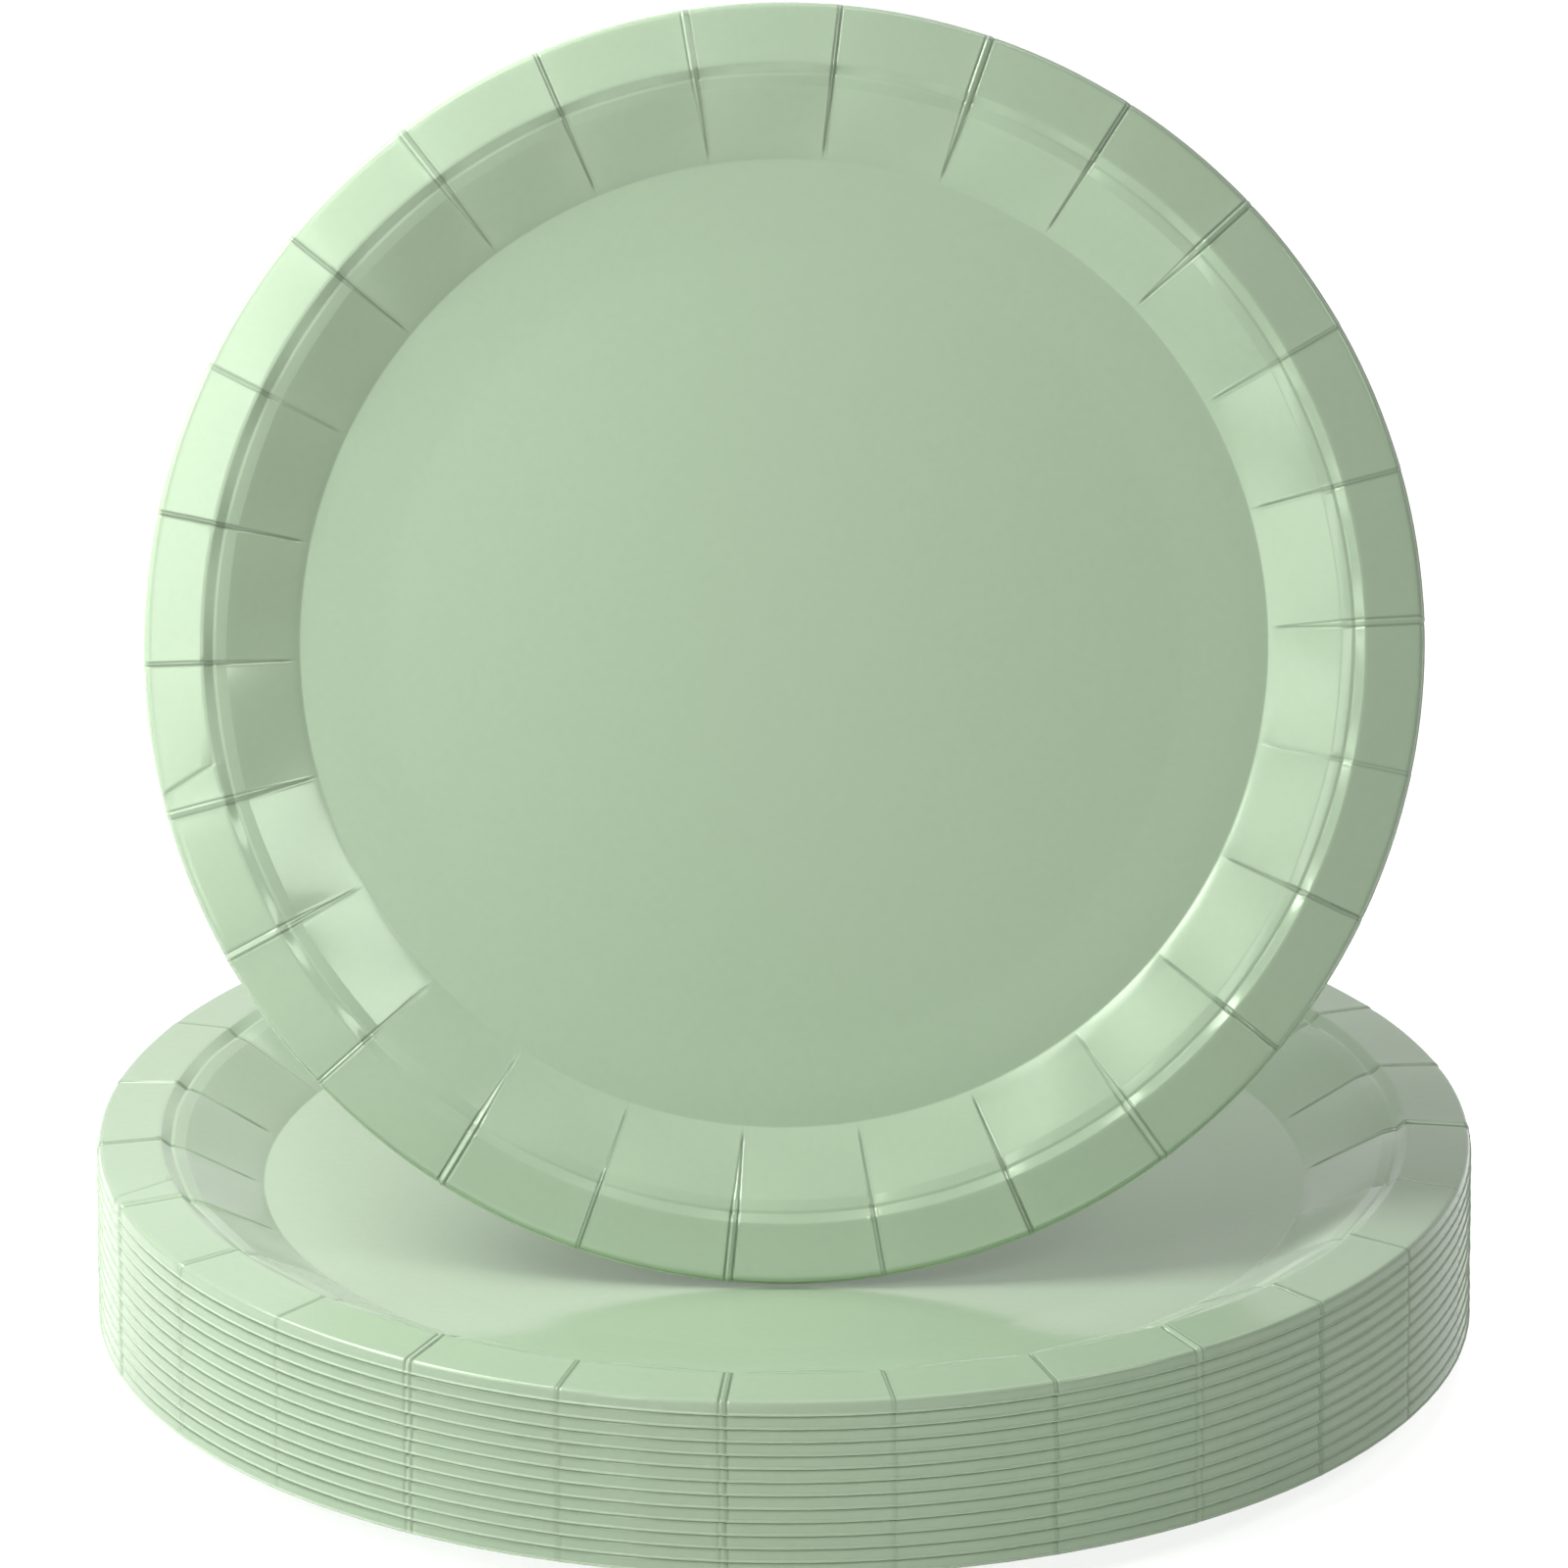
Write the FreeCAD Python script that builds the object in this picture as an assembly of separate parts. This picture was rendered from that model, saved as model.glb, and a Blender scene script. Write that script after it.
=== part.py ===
"""Stack of coated paper plates with one more plate standing on edge on top.

Millimetres, +Z up. The origin is at the middle of the bottom plate's underside.
Every plate is one pressed sheet of board: a flat centre disc, a floor that rises
a little, a sloping wall, a stepped shoulder, a brim that falls outwards and a
short steep skirt at the rim. Narrow radial pleats gather all but disc and floor.
"""
import FreeCAD, Part
import math
import os

from FreeCAD import Vector

# Stack
stack_count = 13
plate_diameter = 229.0
board = 0.45
nest_gap = 0.30

# Section of a stacked plate, from the rim inwards
skirt_slope = 71.4
skirt_drop = 2.05
brim_width = 10.0
brim_drop = 0.8
crest_width = 1.2
step_width = 1.9
step_drop = 1.15
ledge_width = 1.1
wall_width = 12.5
plate_depth = 9.6
floor_border = 15.2
floor_rise = 0.6
foot_radius = 2.2

# Pleats, narrow ribs of gathered board on the food side
pleat_count = 26
pleat_first = 2.0
pleat_angle = 0.75
pleat_rise = 0.30
pleat_foot_margin = 3.0
pleat_bend_margin = 1.4
skirt_pleat_angle = 0.60
skirt_pleat_rise = 0.10
skirt_pleat_margin = 0.40
skirt_pleat_lap = 0.50

# Plate on edge, a smaller one of the same pattern
edge_plate_diameter = 211.5
edge_plate_lean = 21.6
edge_plate_forward = 45.0
edge_plate_gap = 0.20

# Corners of the section that the pleats start, turn and end at
foot_corner = 2
bend_corner = 7
rim_corner = 8

centre = Vector(0, 0, 0)
up = Vector(0, 0, 1)
across = Vector(1, 0, 0)
slope = math.radians(skirt_slope)
nest_pitch = (board + nest_gap) / math.cos(slope)
pleat_pitch = 360 / pleat_count
same_angle = 1e-4
sewing_reach = 1e-5


def section_corners(diameter):
    """Corners of the underside, each with its bend radius, from the centre out."""
    size = diameter / plate_diameter
    rim = diameter / 2 - board * math.sin(slope)
    bend = rim - size * skirt_drop / math.tan(slope)
    crest_outer = bend - size * brim_width
    crest_inner = crest_outer - size * crest_width
    ledge_outer = crest_inner - size * step_width
    wall_top = ledge_outer - size * ledge_width
    foot = wall_top - size * wall_width
    disc_edge = foot - size * floor_border
    crest_height = size * plate_depth - board
    ledge_height = crest_height - size * step_drop
    bend_height = crest_height - size * brim_drop
    rim_height = bend_height - size * skirt_drop
    return [
        (0.0, 0.0, 0.0),
        (disc_edge, 0.0, 0.0),
        (foot, size * floor_rise, foot_radius),
        (wall_top, ledge_height, 0.0),
        (ledge_outer, ledge_height, 0.0),
        (crest_inner, crest_height, 0.0),
        (crest_outer, crest_height, 0.0),
        (bend, bend_height, 0.0),
        (rim, rim_height, 0.0),
    ]


def points_of(corners):
    return [Vector(r, 0, z) for r, z, radius in corners]


def runs_between(points):
    return [(b - a).normalize() for a, b in zip(points, points[1:])]


def food_side(run):
    """The direction square to a run of the section, towards the food side."""
    return Vector(-run.z, 0, run.x)


def lifted(corners, lift):
    """The same corners on a line that lies lift above the underside."""
    points = points_of(corners)
    runs = runs_between(points)
    moved = []
    for index, point in enumerate(points):
        before = runs[max(index - 1, 0)]
        after = runs[min(index, len(runs) - 1)]
        mitre = (food_side(before) + food_side(after)) * (1 / (1 + before.dot(after)))
        place = point + mitre * lift
        radius = corners[index][2]
        if radius > 0:
            radius += board - lift
        moved.append((place.x, place.z, radius))
    return moved


def section_line(corners):
    """Edges through the corners, with an arc at each corner that has a radius."""
    points = points_of(corners)
    runs = runs_between(points)
    edges = []
    start = points[0]
    for index in range(1, len(points) - 1):
        corner = points[index]
        radius = corners[index][2]
        if radius == 0:
            edges.append(Part.makeLine(start, corner))
            start = corner
            continue
        before = runs[index - 1]
        after = runs[index]
        half_turn = before.getAngle(after) / 2
        arc_start = corner - before * (radius * math.tan(half_turn))
        arc_end = corner + after * (radius * math.tan(half_turn))
        inward = (after - before).normalize()
        middle = corner + inward * (radius / math.cos(half_turn) - radius)
        edges.append(Part.makeLine(start, arc_start))
        edges.append(Part.Arc(arc_start, middle, arc_end).toShape())
        start = arc_end
    edges.append(Part.makeLine(start, points[-1]))
    return edges


def board_section(corners, low, high):
    """Face between two lines that lie low and high above the underside."""
    lower = section_line(lifted(corners, low))
    upper = section_line(lifted(corners, high))
    inner_end = Part.makeLine(lower[0].Vertexes[0].Point, upper[0].Vertexes[0].Point)
    outer_end = Part.makeLine(lower[-1].Vertexes[1].Point, upper[-1].Vertexes[1].Point)
    edges = lower + [outer_end] + upper + [inner_end]
    return Part.Face(Part.Wire(Part.__sortEdges__(edges)))


def turned_solid(face, angle):
    """The solid that a section sweeps over an angle centred on +X."""
    face.rotate(centre, up, -angle / 2)
    return face.revolve(centre, up, angle)


def along(corners, index, towards, distance):
    """A point at a distance from one corner on the way to another."""
    start = points_of(corners)[index]
    end = points_of(corners)[towards]
    point = start + (end - start).normalize() * distance
    return (point.x, point.z, 0.0)


def pleat(corners):
    """One rib from just above the foot, over the shoulder and brim, down the skirt."""
    main = [along(corners, foot_corner, foot_corner + 1, pleat_foot_margin)]
    main += corners[foot_corner + 1:bend_corner]
    main += [along(corners, bend_corner, bend_corner - 1, pleat_bend_margin)]
    skirt_start = pleat_bend_margin + skirt_pleat_lap
    skirt = [along(corners, bend_corner, bend_corner - 1, skirt_start)]
    skirt += [corners[bend_corner]]
    skirt += [along(corners, rim_corner, bend_corner, skirt_pleat_margin)]
    main_face = board_section(main, board / 2, board + pleat_rise)
    skirt_face = board_section(skirt, board / 2, board + skirt_pleat_rise)
    main_rib = turned_solid(main_face, pleat_angle)
    return main_rib.fuse(turned_solid(skirt_face, skirt_pleat_angle))


def off_the_sides(face):
    """True for a face that isn't one of the two cut sides of a sector."""
    middle = face.CenterOfMass
    angle = abs(math.degrees(math.atan2(middle.y, middle.x)))
    return abs(angle - pleat_pitch / 2) > same_angle


def plate(diameter):
    """One pressed plate, sewn from equal sectors with a pleat in each."""
    corners = section_corners(diameter)
    sheet = turned_solid(board_section(corners, 0.0, board), pleat_pitch)
    skin = [face for face in sheet.fuse(pleat(corners)).Faces if off_the_sides(face)]
    faces = []
    for index in range(pleat_count):
        for face in skin:
            turned = face.copy()
            turned.rotate(centre, up, pleat_first + index * pleat_pitch)
            faces.append(turned)
    shell = Part.makeShell(faces)
    shell.sewShape(sewing_reach)
    return Part.Solid(shell.Shells[0]).removeSplitter()


def stood_on_edge(shape, diameter):
    """Leans a plate back and stands it on the top plate's centre disc."""
    outer_height = section_corners(diameter)[rim_corner][1] + board * math.cos(slope)
    turn = FreeCAD.Rotation(across, 90 - edge_plate_lean)
    lowest = turn.multVec(Vector(0, -diameter / 2, outer_height))
    disc_height = (stack_count - 1) * nest_pitch + board
    seat = Vector(0, -edge_plate_forward, disc_height + edge_plate_gap)
    shape.rotate(centre, across, 90 - edge_plate_lean)
    shape.translate(seat - lowest)
    return shape


def save(shape, name):
    shape.exportStep("parts/" + name + ".step")
    print(name, shape.ShapeType, len(shape.Faces), shape.isValid(), round(shape.Volume, 1))


os.makedirs("parts", exist_ok=True)

stacked_plate = plate(plate_diameter)
for level in range(stack_count):
    nested = stacked_plate.copy()
    nested.translate(up * (level * nest_pitch))
    save(nested, f"plate_{level + 1:02d}")

save(stood_on_edge(plate(edge_plate_diameter), edge_plate_diameter), "plate_on_edge")
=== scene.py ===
"""Coated paper plates: a nested stack with one more plate standing on edge on top."""
import bpy
import math
import numpy as np
from mathutils import Matrix, Vector


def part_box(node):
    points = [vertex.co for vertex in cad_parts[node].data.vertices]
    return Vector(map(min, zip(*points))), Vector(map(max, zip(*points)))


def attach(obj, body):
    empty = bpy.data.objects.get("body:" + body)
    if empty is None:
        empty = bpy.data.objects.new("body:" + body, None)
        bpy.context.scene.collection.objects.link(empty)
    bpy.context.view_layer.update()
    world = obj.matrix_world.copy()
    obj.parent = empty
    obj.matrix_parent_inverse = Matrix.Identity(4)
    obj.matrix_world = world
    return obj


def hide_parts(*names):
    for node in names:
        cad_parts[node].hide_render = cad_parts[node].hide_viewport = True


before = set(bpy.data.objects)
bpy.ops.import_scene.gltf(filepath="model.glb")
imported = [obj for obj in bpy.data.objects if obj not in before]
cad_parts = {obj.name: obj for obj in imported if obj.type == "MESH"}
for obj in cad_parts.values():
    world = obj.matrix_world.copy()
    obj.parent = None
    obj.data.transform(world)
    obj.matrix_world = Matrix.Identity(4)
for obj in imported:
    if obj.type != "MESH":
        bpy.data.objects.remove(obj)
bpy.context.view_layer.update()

# Nested plates. Each is one disc of sage paperboard with a semi-gloss coat on the food side, pressed hot
# between dies: centre disc, floor, wall, stepped shoulder, nearly level brim and a short skirt at the
# rim. The die gathers the spare board of wall and brim in 26 narrow pleats.
stack_count = 13
board = 0.00045
box_low, box_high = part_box("plate_01")
stack_radius = (box_high.x - box_low.x) / 2
rim_inset = 0.0001

# Section of a stacked plate, from the rim inwards
skirt_slope = math.radians(77.5)
skirt_drop = 0.00205
brim_width = 0.0096
brim_drop = 0.0008
crest_width = 0.0005
step_width = 0.0017
step_drop = 0.00100
ledge_width = 0.0006
shoulder_width = 0.0018
shoulder_drop = 0.00055
wall_width = 0.0130
plate_depth = 0.0096
floor_border = 0.0152
floor_rise = 0.0006
cut_flare = 0.00028

# Radii of the bends in the section
disc_bend = 0.0050
foot_bend = 0.0015
wall_bend = 0.0016
ledge_bend = 0.0006
step_foot_bend = 0.0004
step_top_bend = 0.0005
crest_bend = 0.0008
rim_bend = 0.0006


def plate_section(radius, rows):
    """Middle line of the board as points (r, z), their length along it, and where its parts start."""
    size = radius / stack_radius
    rim = radius - board / 2 * math.sin(skirt_slope)
    bend = rim - size * skirt_drop / math.tan(skirt_slope)
    crest_outer = bend - size * brim_width
    crest_inner = crest_outer - size * crest_width
    ledge_outer = crest_inner - size * step_width
    ledge_inner = ledge_outer - size * ledge_width
    wall_top = ledge_inner - size * shoulder_width
    foot = wall_top - size * wall_width
    disc_edge = foot - size * floor_border
    floor_height = board / 2
    crest = size * plate_depth - board / 2
    ledge = crest - size * step_drop
    bend_height = crest - size * brim_drop
    rim_height = bend_height - size * skirt_drop
    # r, z, bend radius, rows round the bend, rows along the run before it
    corners = [
        (0.0, floor_height, 0.0, 0, 0),
        (disc_edge, floor_height, disc_bend, 2, 1),
        (foot, floor_height + size * floor_rise, foot_bend, rows["bend"] + 2, 2),
        (wall_top, ledge - size * shoulder_drop, wall_bend, rows["bend"], rows["wall"]),
        (ledge_inner, ledge, ledge_bend, rows["bend"], 1),
        (ledge_outer, ledge, step_foot_bend, rows["bend"], 1),
        (crest_inner, crest, step_top_bend, rows["bend"], rows["step"]),
        (crest_outer, crest, crest_bend, rows["bend"], 1),
        (bend, bend_height, rim_bend, rows["bend"] + 2, rows["brim"]),
        (rim - cut_flare, rim_height + cut_flare, 0.0, 0, rows["skirt"]),
        (rim, rim_height, 0.0, 0, 1),
    ]
    points = [Vector(corners[0][:2])]
    for index in range(1, len(corners)):
        r, z, bend_radius, bend_rows, run_rows = corners[index]
        corner = Vector((r, z))
        before = (corner - Vector(corners[index - 1][:2])).normalized()
        run_end = corner
        arc = []
        if bend_radius:
            after = (Vector(corners[index + 1][:2]) - corner).normalized()
            turn = before.angle(after)
            run_end = corner - before * bend_radius * math.tan(turn / 2)
            side = 1 if before.cross(after) > 0 else -1
            hub = run_end + Vector((-before.y, before.x)) * side * bend_radius
            for row in range(1, bend_rows + 1):
                share = turn * row / bend_rows * side
                arc.append(hub + Matrix.Rotation(share, 2) @ (run_end - hub))
        start = points[-1]
        points += [start.lerp(run_end, row / run_rows) for row in range(1, run_rows + 1)]
        points += arc
    line = np.array(points)
    length = np.concatenate([[0], np.cumsum(np.linalg.norm(np.diff(line, axis=0), axis=1))])
    marks = {"rim": length[-1]}
    for index, name in enumerate(("wall", "shoulder", "ledge", "step", "crest", "brim", "skirt"), start=2):
        nearest = np.linalg.norm(line - np.array(corners[index][:2]), axis=1).argmin()
        marks[name] = length[nearest]
    return line, length, marks


# Angles of the pleats and of one stray crease, and how far the close columns reach beside them
pleat_count = 26
pleat_pitch = 2 * math.pi / pleat_count
first_pleat = math.radians(2.0)
crease_reach = 0.0012
stray_crease = math.radians(192.8)
stray_reach = 0.0016


def pleat_columns(radius, detail):
    """Angles of the mesh's columns, close together at each crease and wide apart between creases."""
    close = np.linspace(-crease_reach, crease_reach, detail["crease"])
    beside = np.array(detail["beside"])
    offsets = np.concatenate([-beside[::-1], close, beside]) / radius
    gap = pleat_pitch - offsets[-1] + offsets[0]
    panel = offsets[-1] + gap * np.arange(1, detail["panel"]) / detail["panel"]
    one_pleat = np.concatenate([offsets, panel])
    starts = first_pleat + np.arange(pleat_count) * pleat_pitch
    columns = (starts[:, None] + one_pleat).ravel()
    stray = stray_crease + np.linspace(-stray_reach, stray_reach, detail["stray"]) / radius
    return np.sort(np.concatenate([columns, stray]))


def ramp(value, start, end):
    """0 before start, 1 after end, and a smooth rise between them."""
    share = np.clip((value - start) / (end - start), 0, 1)
    return share * share * (3 - 2 * share)


def hump(distance, width):
    """1 on a line or spot and a smooth fall beside it."""
    return np.exp(-(distance / width) ** 2)


# Pleats. Each is a low rib of gathered board between two grooves, some wider apart than others
pleat_seed = 26
wide_pleats = (0, 3, 5, 7, 9, 14, 15, 17, 19, 22)
wide_gap = 0.00125
narrow_gap = 0.00055
gap_at_foot = 0.00020
spread_past_crest = 0.0020
groove_depth = 0.00024
groove_width = 0.00022
groove_variety = (0.5, 1.35)
shallow_on_wall = 0.55
shallow_reach = 0.0030
pleat_lean = 0.035
pleat_rise = 0.00010
pleat_margin = 0.00030
pleat_begins = 0.0010
pleat_full = 0.0028
rim_press = 0.4
rim_press_reach = 0.0008
fold_step = 0.00008
fold_width = 0.00012
fold_reach = 0.0024
# The painted shade in the grooves is weakened this much on the skirt
skirt_shade_fade = 0.7
skirt_fade_reach = 0.0004


def pleat_relief(dice, turn, r, s, marks):
    """Relief of the pleats, the painted shade along their grooves, and the pleat nearest to each spot and how
    far off that is.
    """
    depth = dice.uniform(*groove_variety, pleat_count)
    lean = dice.uniform(-pleat_lean, pleat_lean, pleat_count)
    side = dice.choice([-1.0, 1.0], pleat_count)
    spread = np.full(pleat_count, narrow_gap)
    spread[list(wide_pleats)] = wide_gap

    nearest = np.round(turn).astype(int)
    pleat = nearest % pleat_count
    off = r * (turn - nearest) * pleat_pitch - lean[pleat] * (s - marks["step"])
    opening = ramp(s, marks["wall"], marks["crest"] + spread_past_crest)
    gap = gap_at_foot + (spread[pleat] - gap_at_foot) * opening
    firm = shallow_on_wall + (1 - shallow_on_wall) * ramp(s, marks["ledge"] - shallow_reach, marks["ledge"])
    grooves = depth[pleat] * firm * (hump(off - gap / 2, groove_width) + hump(off + gap / 2, groove_width))
    rib = np.exp(-(off / (gap / 2 + pleat_margin)) ** 4)
    fold = side[pleat] * np.tanh(off / fold_width) * hump(off, fold_reach)

    begun = ramp(s, marks["wall"] + pleat_begins, marks["wall"] + pleat_full)
    pressed_flat = rim_press * ramp(s, marks["rim"] - rim_press_reach, marks["rim"])
    relief = begun * (1 - pressed_flat) * (pleat_rise * rib - groove_depth * grooves + fold_step * fold)
    on_skirt = ramp(s, marks["skirt"] - skirt_fade_reach, marks["skirt"] + skirt_fade_reach)
    # Painted shade: how much the grooves darken the colour, weaker on the skirt
    crease_shade = np.clip(begun * (1 - skirt_shade_fade * on_skirt) * grooves, 0, 1)
    return relief, crease_shade, pleat, off


# Wall panels, nearly flat from one pleat to the next
panel_flatness = 0.85
panel_sink = 0.55
panel_tilt = 0.00012
panel_swell = 0.00003
swell_variety = (-0.4, 1)
foot_line = 0.00008
foot_line_width = 0.0005


def panel_relief(dice, turn, r, s, marks):
    """Relief of the wall's flat panels between the pleats, and of the fine line pressed at the foot."""
    tilt = dice.uniform(-1, 1, pleat_count)
    swell = dice.uniform(*swell_variety, pleat_count)
    panel = np.floor(turn).astype(int) % pleat_count
    across = (turn - np.floor(turn) - 0.5) * 2
    half = pleat_pitch / 2
    chord = r * (1 - math.cos(half) / np.cos(across * half)) - panel_sink * r * (1 - math.cos(half))
    uneven = panel_tilt * tilt[panel] * across + panel_swell * swell[panel] * (1 - across ** 2)
    panel_span = [marks[part] for part in ("wall", "shoulder", "step", "crest")]
    on_wall = np.interp(s, panel_span, [0, 1, 1, 0])
    return on_wall * (panel_flatness * chord + uneven) - foot_line * hump(s - marks["wall"], foot_line_width)


# Puckers, small dents and bumps at the top of each pleat
pucker_count = 6
pucker_reach = 0.0008
pucker_before_ledge = 0.0010
pucker_past_crest = 0.0014
pucker_heights = (-0.00016, 0.00018)
pucker_widths = (0.00022, 0.00042)


def pucker_relief(dice, pleat, off, s, marks):
    """Relief of the small puckers where each pleat crosses the shoulder."""
    relief = 0
    for pucker in range(pucker_count):
        place_off = dice.uniform(-pucker_reach, pucker_reach, pleat_count)[pleat]
        low, high = marks["ledge"] - pucker_before_ledge, marks["brim"] + pucker_past_crest
        place_s = dice.uniform(low, high, pleat_count)[pleat]
        height = dice.uniform(*pucker_heights, pleat_count)[pleat]
        width = dice.uniform(*pucker_widths, pleat_count)[pleat]
        relief = relief + height * hump(np.hypot(off - place_off, s - place_s), width)
    return relief


# Stray crease, a single one that runs across the brim and belongs to no pleat
stray_lean = 0.35
stray_crossing = 0.0040
stray_start = 0.0020
stray_width = 0.00022
stray_depth = 0.00016
# The stray crease's groove gets this share of the painted crease shade
stray_shade_tone = 0.6


def pressed_relief(angles, line, length, marks):
    """How far the die moves the board along its normal, and the painted shade of its creases, at every row
    and column.
    """
    dice = np.random.default_rng(pleat_seed)
    # Pleats counted round the plate, distance from its axis and length along its section
    turn = (angles - first_pleat) / pleat_pitch
    r = line[:, :1]
    s = length[:, None]
    relief, crease_shade, pleat, off = pleat_relief(dice, turn, r, s, marks)
    relief = relief + panel_relief(dice, turn, r, s, marks)
    relief = relief + pucker_relief(dice, pleat, off, s, marks)

    off_stray = r * (angles - stray_crease) - stray_lean * (s - marks["brim"] - stray_crossing)
    stray = ramp(s, marks["ledge"] - stray_start, marks["step"]) * hump(off_stray, stray_width)
    return relief - stray_depth * stray, np.maximum(crease_shade, stray_shade_tone * stray)


# Materials of the food side, the cut edge and the underside, in the order of the mesh's slots
coated_slot, core_slot, uncoated_slot = range(3)

# Rows of faces on the cut edge, and the angle from which a fold in the mesh is shaded sharp
cut_rows = 3
sharp_edge = math.radians(62)


def plate_mesh(name, radius, detail):
    """Closed mesh of one plate: food side, cut edge and underside, on the same columns."""
    angles = pleat_columns(radius, detail)
    columns = len(angles)
    sides, crease_shades = [], []
    for side, rows in ((1, detail["food"]), (-1, detail["under"])):
        line, length, marks = plate_section(radius, rows)
        tangent = np.gradient(line, length, axis=0)
        tangent /= np.linalg.norm(tangent, axis=1)[:, None]
        tangent[0] = (1, 0)
        normal = np.stack([-tangent[:, 1], tangent[:, 0]], axis=1)
        relief, crease_shade = pressed_relief(angles, line, length, marks)
        lift = side * board / 2 + relief
        out = line[:, :1] + normal[:, :1] * lift
        height = line[:, 1:] + normal[:, 1:] * lift
        sides.append(np.stack([out * np.cos(angles), out * np.sin(angles), height], axis=2))
        crease_shades.append(crease_shade)
    food, under = sides
    cut_middle = (food[-1] + under[-1]) / 2
    rings = [*food[1:], cut_middle, *under[:0:-1]]
    verts = [food[0, 0], *np.concatenate(rings), under[0, 0]]
    last = len(verts) - 1
    first_cut_row = len(food) - cut_rows

    faces, slots = [], []
    for row in range(len(rings) - 1):
        slot = uncoated_slot
        if row < first_cut_row + cut_rows:
            slot = core_slot
        if row < first_cut_row:
            slot = coated_slot
        inner = 1 + row * columns
        outer = inner + columns
        for column in range(columns):
            after = (column + 1) % columns
            faces.append((inner + column, outer + column, outer + after, inner + after))
            slots.append(slot)
    for column in range(columns):
        after = (column + 1) % columns
        faces.append((0, 1 + column, 1 + after))
        slots.append(coated_slot)
        faces.append((last, last - columns + after, last - columns + column))
        slots.append(uncoated_slot)

    mesh = bpy.data.meshes.new(name)
    mesh.from_pydata([tuple(vert) for vert in verts], [], faces)
    # The food side's painted crease shade goes into the mesh's crease attribute
    food_crease_shade = crease_shades[0][1:].ravel()
    crease = mesh.attributes.new("crease", "FLOAT", "POINT")
    crease.data.foreach_set("value", np.pad(food_crease_shade, (1, last - len(food_crease_shade))))
    mesh.polygons.foreach_set("material_index", slots)
    mesh.polygons.foreach_set("use_smooth", [True] * len(faces))
    mesh.set_sharp_from_angle(angle=sharp_edge)
    return mesh


# Colours and finish of the paperboard
mottle_scale = 700
mottle_range = (0.3, 0.7)
mottle_tones = (0.985, 1.012)
# Painted shade: the colour is darkened to this share along the pleat grooves
crease_shade_tone = 0.60
polish_scale = 160
polish_variety = 0.12
fibre_scale = 2600
fibre_height = 0.0001
gloss = 0.5
gloss_tint = (0.78, 1.0, 0.72, 1)
coat_roughness = 0.10


def board_material(name, colour, roughness, coat, fibre):
    """Paperboard: a faint mottle, painted shade along the crease lines, fine fibres in the bump and a coat if
    it has one.
    """
    made = bpy.data.materials.new(name)
    made.use_nodes = True
    nodes, links = made.node_tree.nodes, made.node_tree.links
    shader = nodes["Principled BSDF"]
    place = nodes.new("ShaderNodeTexCoord").outputs["Object"]

    def noise(scale, detail):
        node = nodes.new("ShaderNodeTexNoise")
        node.inputs["Scale"].default_value = scale
        node.inputs["Detail"].default_value = detail
        links.new(place, node.inputs["Vector"])
        return node.outputs["Fac"]

    mottle = nodes.new("ShaderNodeValToRGB")
    for stop, position, tone in zip(mottle.color_ramp.elements, mottle_range, mottle_tones):
        stop.position = position
        stop.color = (*[c * tone for c in colour], 1)
    links.new(noise(mottle_scale, 6), mottle.inputs["Fac"])
    # Painted shade: the crease attribute darkens the colour along the pleat grooves
    crease = nodes.new("ShaderNodeAttribute")
    crease.attribute_name = "crease"
    crease_shade_mix = nodes.new("ShaderNodeMix")
    crease_shade_mix.data_type = "RGBA"
    links.new(crease.outputs["Fac"], crease_shade_mix.inputs[0])
    links.new(mottle.outputs["Color"], crease_shade_mix.inputs[6])
    crease_shade_mix.inputs[7].default_value = (*[c * crease_shade_tone for c in colour], 1)
    links.new(crease_shade_mix.outputs[2], shader.inputs["Base Color"])

    polish = nodes.new("ShaderNodeMapRange")
    polish.inputs["To Min"].default_value = roughness * (1 - polish_variety)
    polish.inputs["To Max"].default_value = roughness * (1 + polish_variety)
    links.new(noise(polish_scale, 4), polish.inputs["Value"])
    links.new(polish.outputs["Result"], shader.inputs["Roughness"])

    bump = nodes.new("ShaderNodeBump")
    bump.inputs["Strength"].default_value = fibre
    bump.inputs["Distance"].default_value = fibre_height
    links.new(noise(fibre_scale, 3), bump.inputs["Height"])
    links.new(bump.outputs["Normal"], shader.inputs["Normal"])
    shader.inputs["Specular IOR Level"].default_value = gloss
    shader.inputs["Specular Tint"].default_value = gloss_tint
    shader.inputs["Coat Weight"].default_value = coat
    shader.inputs["Coat Roughness"].default_value = coat_roughness
    return made


sage = (0.420, 0.545, 0.382)
pale_cut = (0.54, 0.67, 0.49)
dull_sage = (0.44, 0.55, 0.40)
coated = board_material("coated_sage", sage, roughness=0.20, coat=0.30, fibre=0.05)
core = board_material("cut_edge", pale_cut, roughness=0.75, coat=0.0, fibre=0.35)
uncoated = board_material("uncoated_underside", dull_sage, roughness=0.72, coat=0.0, fibre=0.30)


def finish_plate(name, mesh, node):
    """Gives a plate's mesh its materials and puts it in the place of its CAD node."""
    for material in (coated, core, uncoated):
        mesh.materials.append(material)
    piece = bpy.data.objects.new(name, mesh)
    bpy.context.collection.objects.link(piece)
    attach(piece, "root")
    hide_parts(node)


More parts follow.
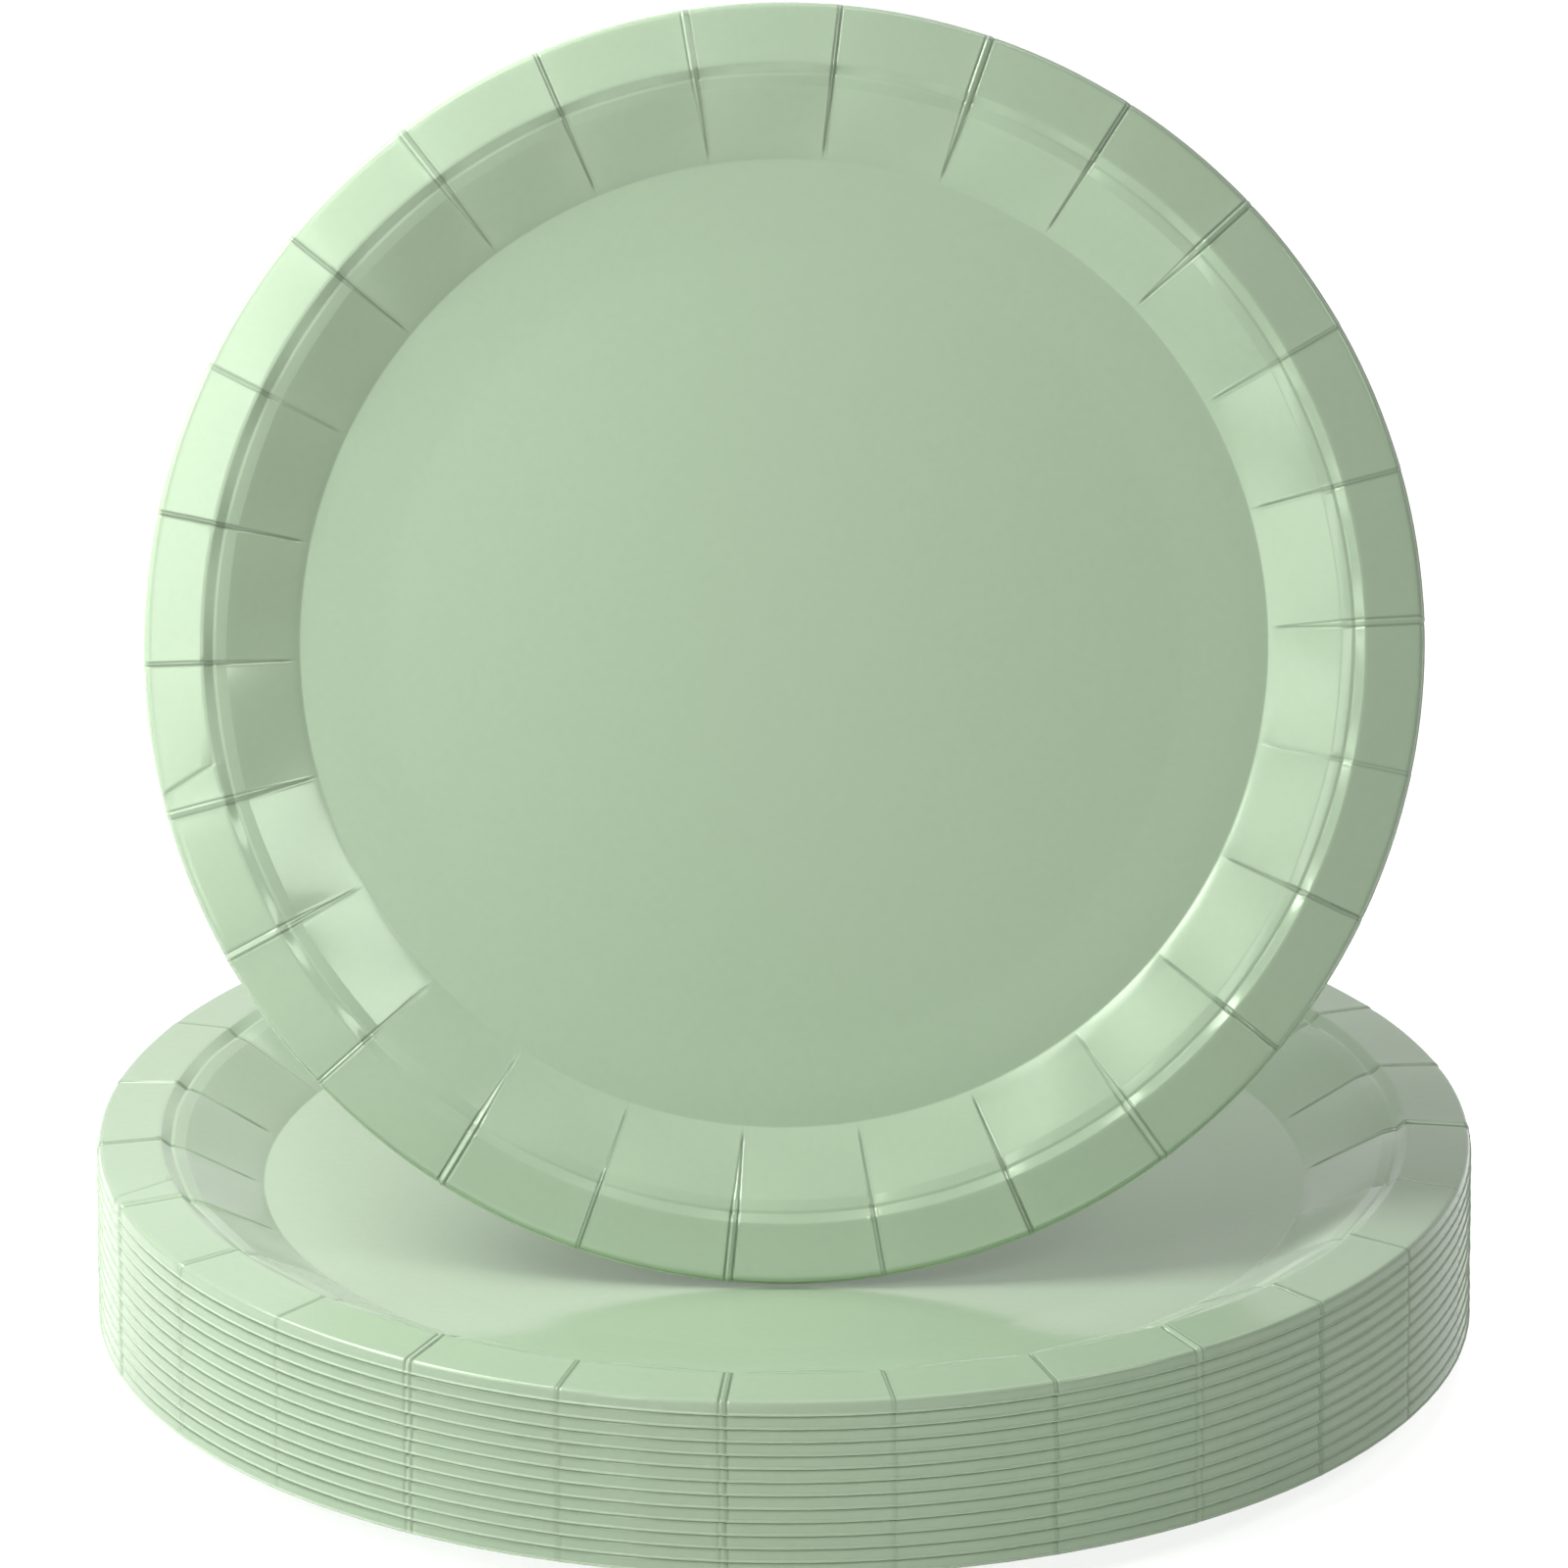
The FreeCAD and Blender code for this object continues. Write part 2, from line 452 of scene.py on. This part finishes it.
# Only the brim and the skirt of these plates show, so their rows and columns are few.
plain = {
    "food": dict(bend=1, wall=1, step=1, brim=4, skirt=4),
    "under": dict(bend=1, wall=1, step=1, brim=2, skirt=2),
    "crease": 11,
    "beside": [0.0021],
    "panel": 4,
    "stray": 5,
}
nest_turn = math.radians(0.10)
nest_slip = 0.00006
settle_seed = 9
settle = np.random.default_rng(settle_seed)
nested = plate_mesh("nested_plate", stack_radius - rim_inset, plain)
for level in range(1, stack_count):
    node = f"plate_{level:02d}"
    shift = Vector((*settle.uniform(-nest_slip, nest_slip, 2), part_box(node)[0].z))
    turn = settle.uniform(-nest_turn, nest_turn)
    mesh = nested.copy()
    mesh.transform(Matrix.Translation(shift) @ Matrix.Rotation(turn, 4, "Z"))
    finish_plate(f"nested_plate_{level:02d}", mesh, node)
bpy.data.meshes.remove(nested)

# Top plate of the stack. It is the same pressed plate, lying open, so its whole food side shows and it
# is made with finer rows at the shoulder and closer columns at the pleats.
fine = {
    "food": dict(bend=4, wall=14, step=3, brim=12, skirt=5),
    "under": dict(bend=2, wall=6, step=2, brim=5, skirt=3),
    "crease": 19,
    "beside": [0.0016, 0.0024, 0.0040],
    "panel": 6,
    "stray": 17,
}
top_node = f"plate_{stack_count:02d}"
top_mesh = plate_mesh("top_plate", stack_radius - rim_inset, fine)
top_mesh.transform(Matrix.Translation((0, 0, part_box(top_node)[0].z)))
finish_plate("top_plate", top_mesh, top_node)

# Plate on edge. It is a slightly smaller plate of the same pattern that stands on its rim on the top
# plate's centre disc and leans back, so that its food side faces up to the front.
lean = math.radians(21.6)
edge_low, edge_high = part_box("plate_on_edge")
edge_radius = (edge_high.x - edge_low.x) / 2
edge_mesh = plate_mesh("plate_on_edge", edge_radius - rim_inset, fine)
edge_mesh.transform(Matrix.Rotation(math.pi / 2 - lean, 4, "X"))
spots = np.array([vert.co for vert in edge_mesh.vertices])
middle_now = Vector((spots.min(axis=0) + spots.max(axis=0)) / 2)
edge_mesh.transform(Matrix.Translation((edge_low + edge_high) / 2 - middle_now))
finish_plate("edge_plate", edge_mesh, "plate_on_edge")

# Floor. A plain white table top under the stack. The camera and the gloss see it nearly white, and it
# keeps the stack's soft shadow.
floor_reach = 30.0
floor_glow = 0.80
floor_colour = (0.8, 0.8, 0.8, 1)
floor_roughness = 0.9
floor_corners = [(x * floor_reach, y * floor_reach, 0) for x, y in ((-1, -1), (1, -1), (1, 1), (-1, 1))]
floor_mesh = bpy.data.meshes.new("floor")
floor_mesh.from_pydata(floor_corners, [], [(0, 1, 2, 3)])
floor = bpy.data.objects.new("floor", floor_mesh)
bpy.context.collection.objects.link(floor)


def seen_directly(nodes, links):
    """1 where the camera sees a surface straight, in a gloss or through glass, and 0 for its light."""
    path = nodes.new("ShaderNodeLightPath")
    total = path.outputs["Is Camera Ray"]
    for kind in ("Is Glossy Ray", "Is Transmission Ray"):
        add = nodes.new("ShaderNodeMath")
        add.operation = "ADD"
        add.use_clamp = True
        links.new(total, add.inputs[0])
        links.new(path.outputs[kind], add.inputs[1])
        total = add.outputs["Value"]
    return total


floor_paint = bpy.data.materials.new("floor_white")
floor_paint.use_nodes = True
floor_nodes, floor_links = floor_paint.node_tree.nodes, floor_paint.node_tree.links
floor_shader = floor_nodes["Principled BSDF"]
floor_shader.inputs["Base Color"].default_value = floor_colour
floor_shader.inputs["Roughness"].default_value = floor_roughness
floor_shader.inputs["Emission Color"].default_value = (1, 1, 1, 1)
glow = floor_nodes.new("ShaderNodeMath")
glow.operation = "MULTIPLY"
glow.inputs[1].default_value = floor_glow
floor_links.new(seen_directly(floor_nodes, floor_links), glow.inputs[0])
floor_links.new(glow.outputs["Value"], floor_shader.inputs["Emission Strength"])
floor_mesh.materials.append(floor_paint)

# Room. A plain pale studio round the plates, white to the camera and in the gloss, which gives them a
# faint even light from all sides.
room_light = 0.03
room_seen = 1.0
world = bpy.data.worlds.new("room")
bpy.context.scene.world = world
world.use_nodes = True
world_nodes, world_links = world.node_tree.nodes, world.node_tree.links
room_level = world_nodes.new("ShaderNodeMapRange")
room_level.inputs["To Min"].default_value = room_light
room_level.inputs["To Max"].default_value = room_seen
world_links.new(seen_directly(world_nodes, world_links), room_level.inputs["Value"])
world_links.new(room_level.outputs["Result"], world_nodes["Background"].inputs["Strength"])
world_nodes["Background"].inputs["Color"].default_value = (1, 1, 1, 1)

# Lamps. Soft boxes and a narrow strip stand at the left of the plate on edge, where its brim is brightest,
# and one at the right lights its two pale panels. A low strip faces the stack and one box stands behind.
view_right = Vector((1, 0, 0))
view_up = Vector((0, math.sin(lean), math.cos(lean)))
view_front = Vector((0, -math.cos(lean), math.sin(lean)))
face_middle = (edge_low + edge_high) / 2
stack_front = Vector((0, -0.08, 0.03))


def from_face(right, up, front):
    """A place given from the middle of the plate on edge, along and out from its face."""
    return face_middle + view_right * right + view_up * up + view_front * front


def softbox(name, place, aim, width, height, power):
    """An area lamp at a place, turned to what it lights."""
    lamp = bpy.data.lights.new(name, "AREA")
    lamp.shape = "RECTANGLE"
    lamp.size = width
    lamp.size_y = height
    lamp.energy = power
    holder = bpy.data.objects.new(name, lamp)
    holder.location = place
    holder.rotation_mode = "QUATERNION"
    holder.rotation_quaternion = (aim - place).to_track_quat("-Z", "Y")
    holder.visible_camera = False
    bpy.context.collection.objects.link(holder)


softbox("left_near", from_face(-0.257, 0.180, 0.102), face_middle, width=0.19, height=0.19, power=0.76)
softbox("left_low", from_face(-0.259, -0.023, 0.203), face_middle, width=0.13, height=0.13, power=0.14)
softbox("left_high", from_face(-0.336, 0.336, 0.155), face_middle, width=0.32, height=0.32, power=1.45)
softbox("left_level", from_face(-0.407, 0.148, 0.250), face_middle, width=0.20, height=0.20, power=0.20)
softbox("left_strip", from_face(-0.178, 0.060, 0.420), face_middle, width=0.04, height=0.34, power=0.26)
softbox("right_high", from_face(0.507, 0.290, 0.445), face_middle, width=0.22, height=0.20, power=0.95)
softbox("low_strip", Vector((0, -0.30, 0.05)), stack_front, width=0.30, height=0.07, power=0.07)
softbox("behind", Vector((0.25, 0.50, 0.95)), face_middle, width=0.50, height=0.50, power=1.6)

# Camera. A long lens that looks straight at the food side of the plate on edge, as in the photograph, and
# is aimed at the middle of its square frame.
pixel_size = 0.0001621
photo_pixels = 1600
camera_distance = 4.0
sensor_width = 36.0
sight_reach = 100
picture_middle = Vector((0, 0, 0.0997))
camera_data = bpy.data.cameras.new("camera")
camera_data.sensor_width = sensor_width
camera_data.lens = sensor_width * camera_distance / (pixel_size * photo_pixels)
camera_data.clip_end = sight_reach
camera = bpy.data.objects.new("camera", camera_data)
camera.location = picture_middle + view_front * camera_distance
camera.rotation_mode = "QUATERNION"
camera.rotation_quaternion = view_front.to_track_quat("Z", "Y")
bpy.context.collection.objects.link(camera)
bpy.context.scene.camera = camera
bpy.context.scene.view_settings.view_transform = "Standard"
